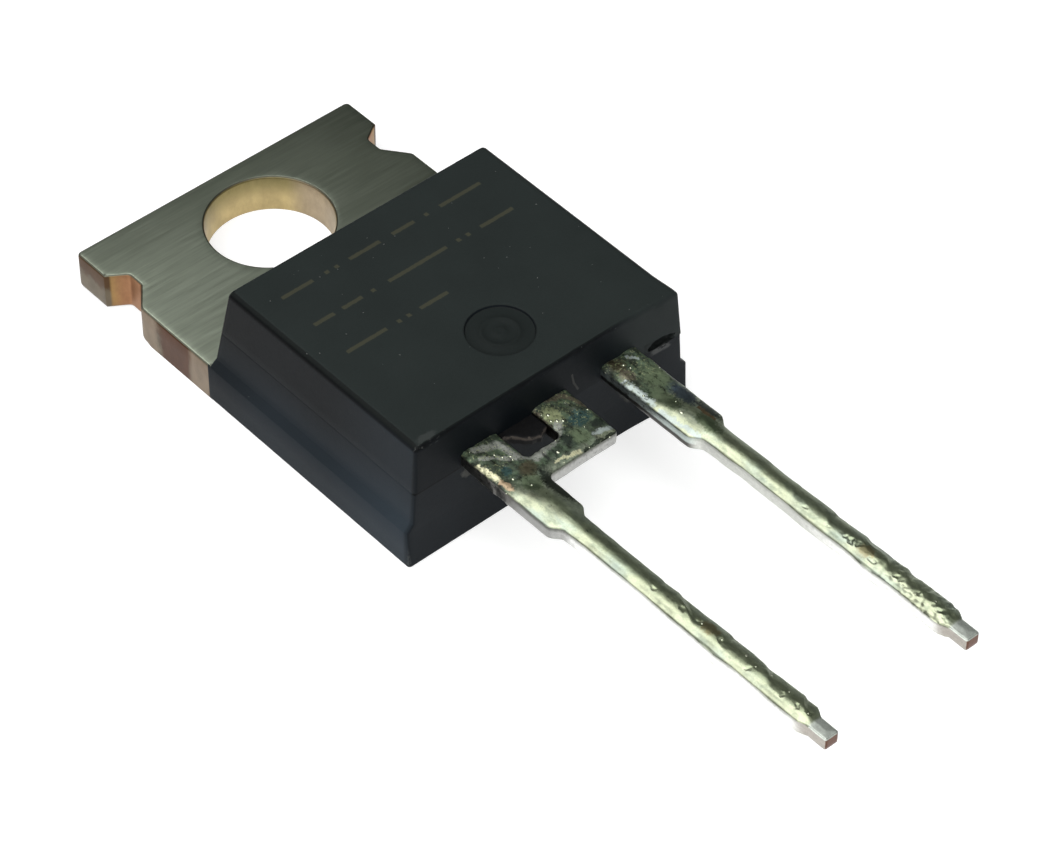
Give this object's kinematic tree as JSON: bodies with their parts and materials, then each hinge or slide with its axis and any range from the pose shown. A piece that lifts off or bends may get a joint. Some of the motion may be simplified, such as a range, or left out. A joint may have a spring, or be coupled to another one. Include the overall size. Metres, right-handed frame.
{
  "type": "schottky diode",
  "caption": "Power diode: a black moulded body on a drilled metal heatsink tab, with flat solder-dipped leads leaving its front face beside a sheared centre stub.",
  "frame": {"origin": "on the axis of the mounting hole, in the plane of the tab's back", "axes": "+X across the tab towards the side of the anode lead, +Y along the tab to its free end, +Z from the tab's back to the moulding's top face; the leads point to -Y"},
  "size_m": [0.0102, 0.0284, 0.0043],
  "materials": {
    "black_epoxy": "fine matte moulding texture",
    "plated_copper": "copper with a dull, finely brushed nickel or tin plate; leads dipped in solder",
    "tinned_copper": "copper dipped in solder, glossy and crowned",
    "silicon": "polished",
    "soft_solder": "dull solder",
    "aluminium_wire": "bright drawn wire"
  },
  "bodies": {
    "root": {"moulded_body": "black_epoxy", "tab_and_cathode_lead": "plated_copper", "anode_lead": "tinned_copper", "schottky_die": "silicon", "die_solder": "soft_solder", "bond_wire_1": "aluminium_wire", "bond_wire_2": "aluminium_wire", "bond_wire_3": "aluminium_wire"}
  },
  "joints": []
}
